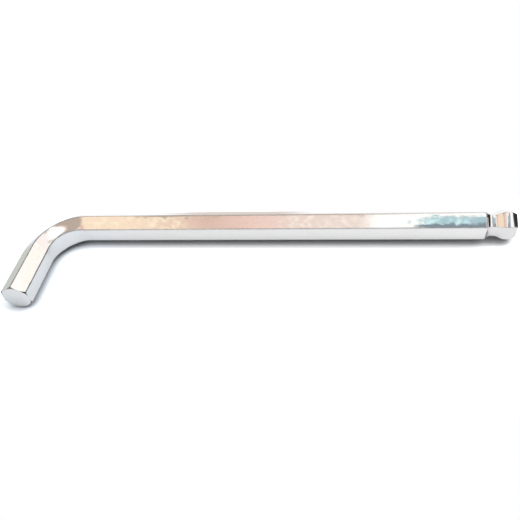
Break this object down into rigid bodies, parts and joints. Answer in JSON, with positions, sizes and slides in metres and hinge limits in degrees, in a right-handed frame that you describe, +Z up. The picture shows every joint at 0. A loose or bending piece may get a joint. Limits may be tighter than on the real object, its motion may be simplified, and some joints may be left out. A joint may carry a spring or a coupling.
{
  "type": "hex key",
  "caption": "L-shaped hexagonal key bent from one plated steel bar, with a ball end on the long arm and a plain bevelled end on the short arm, for turning socket screws.",
  "frame": {"origin": "centre of the key's bounding box in plan, on the surface that the key lies on", "axes": "+X along the long arm towards the ball end, -Y along the short arm towards its plain end, +Z up from the surface that the key lies on"},
  "size_m": [0.182, 0.042, 0.0113],
  "materials": {
    "bright_plated_steel": "bright plating over drawn steel, with faint lengthwise draw marks and small rubs"
  },
  "bodies": {
    "root": {"hex_key": "bright_plated_steel"}
  },
  "joints": []
}
